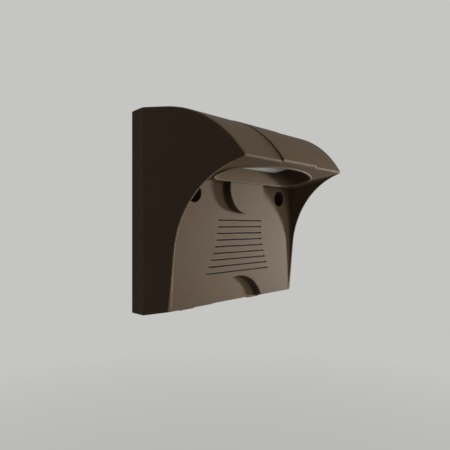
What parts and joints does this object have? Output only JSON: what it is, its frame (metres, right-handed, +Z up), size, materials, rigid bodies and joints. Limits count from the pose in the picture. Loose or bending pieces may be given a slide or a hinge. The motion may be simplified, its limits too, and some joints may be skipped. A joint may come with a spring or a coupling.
{
  "type": "wall pack light",
  "caption": "Outdoor wall light: a hooded die-cast housing on a shallow back box, lit downwards through a drop glass, hinged at its lower edge and held shut by captive screws.",
  "frame": {"origin": "centre of the back box's rear face, on the wall", "axes": "+Z up, +X to the right seen from the front, the light faces -Y, the wall is Y = 0"},
  "size_m": [0.2934, 0.1786, 0.281],
  "materials": {
    "powder_coated_casting": "dark bronze satin powder coat on die-cast aluminium",
    "foam": "closed cell foam",
    "seal_rubber": "matt moulded rubber",
    "stainless": "plain stainless steel",
    "brass": "turned brass",
    "green_screw": "green finish",
    "glass": "frosted drop glass",
    "silicone": "soft silicone",
    "galvanised": "galvanised sheet",
    "zinc_screws": "zinc plated",
    "white_reflector": "white",
    "led_phosphor": "yellow phosphor",
    "white_board": "white solder mask",
    "thermal_pad": "soft pad",
    "aluminium": "mill finish",
    "driver_case": "anodised case",
    "red_lead": "insulated lead",
    "black_lead": "insulated lead",
    "white_lead": "insulated lead",
    "green_lead": "insulated lead",
    "connector_plastic": "push-in connector",
    "holder_plastic": "moulded nylon",
    "bronze_screw": "dark bronze finish"
  },
  "bodies": {
    "back_box": {"back_box": "powder_coated_casting", "wall_gasket": "foam", "seal_gasket": "seal_rubber", "hinge_pins": "stainless", "screw_inserts": "brass", "ground_screw": "green_screw", "entry_grommet": "seal_rubber"},
    "front_housing": {"front_housing": "powder_coated_casting", "lens": "glass", "lens_gasket": "silicone", "lens_frame": "galvanised", "lens_frame_screws": "zinc_screws", "reflector": "white_reflector", "led_packages": "led_phosphor", "led_board": "white_board", "thermal_pad": "thermal_pad", "led_carrier": "aluminium", "led_board_screws": "zinc_screws", "carrier_screws": "zinc_screws", "driver": "driver_case", "driver_bracket": "galvanised", "driver_screws": "zinc_screws", "led_lead_red": "red_lead", "led_lead_black": "black_lead", "wire_connectors": "connector_plastic", "connector_holder": "holder_plastic", "holder_screws": "zinc_screws", "supply_lead_black": "black_lead", "supply_lead_white": "white_lead", "supply_lead_green": "green_lead"},
    "captive_screw_right": {"captive_screw_right": "bronze_screw", "retaining_ring_right": "stainless"},
    "captive_screw_left": {"captive_screw_left": "bronze_screw", "retaining_ring_left": "stainless"}
  },
  "joints": [
    {"name": "door_hinge", "type": "hinge", "parent": "back_box", "child": "front_housing", "pos_m": [0, -0.0313, -0.138], "axis": [1, 0, 0], "range_deg": [0, 90]},
    {"name": "door_screw_right", "type": "slide", "parent": "front_housing", "child": "captive_screw_right", "axis": [0, -1, 0], "range_m": [0, 0.009]},
    {"name": "door_screw_left", "type": "slide", "parent": "front_housing", "child": "captive_screw_left", "axis": [0, -1, 0], "range_m": [0, 0.009]}
  ]
}
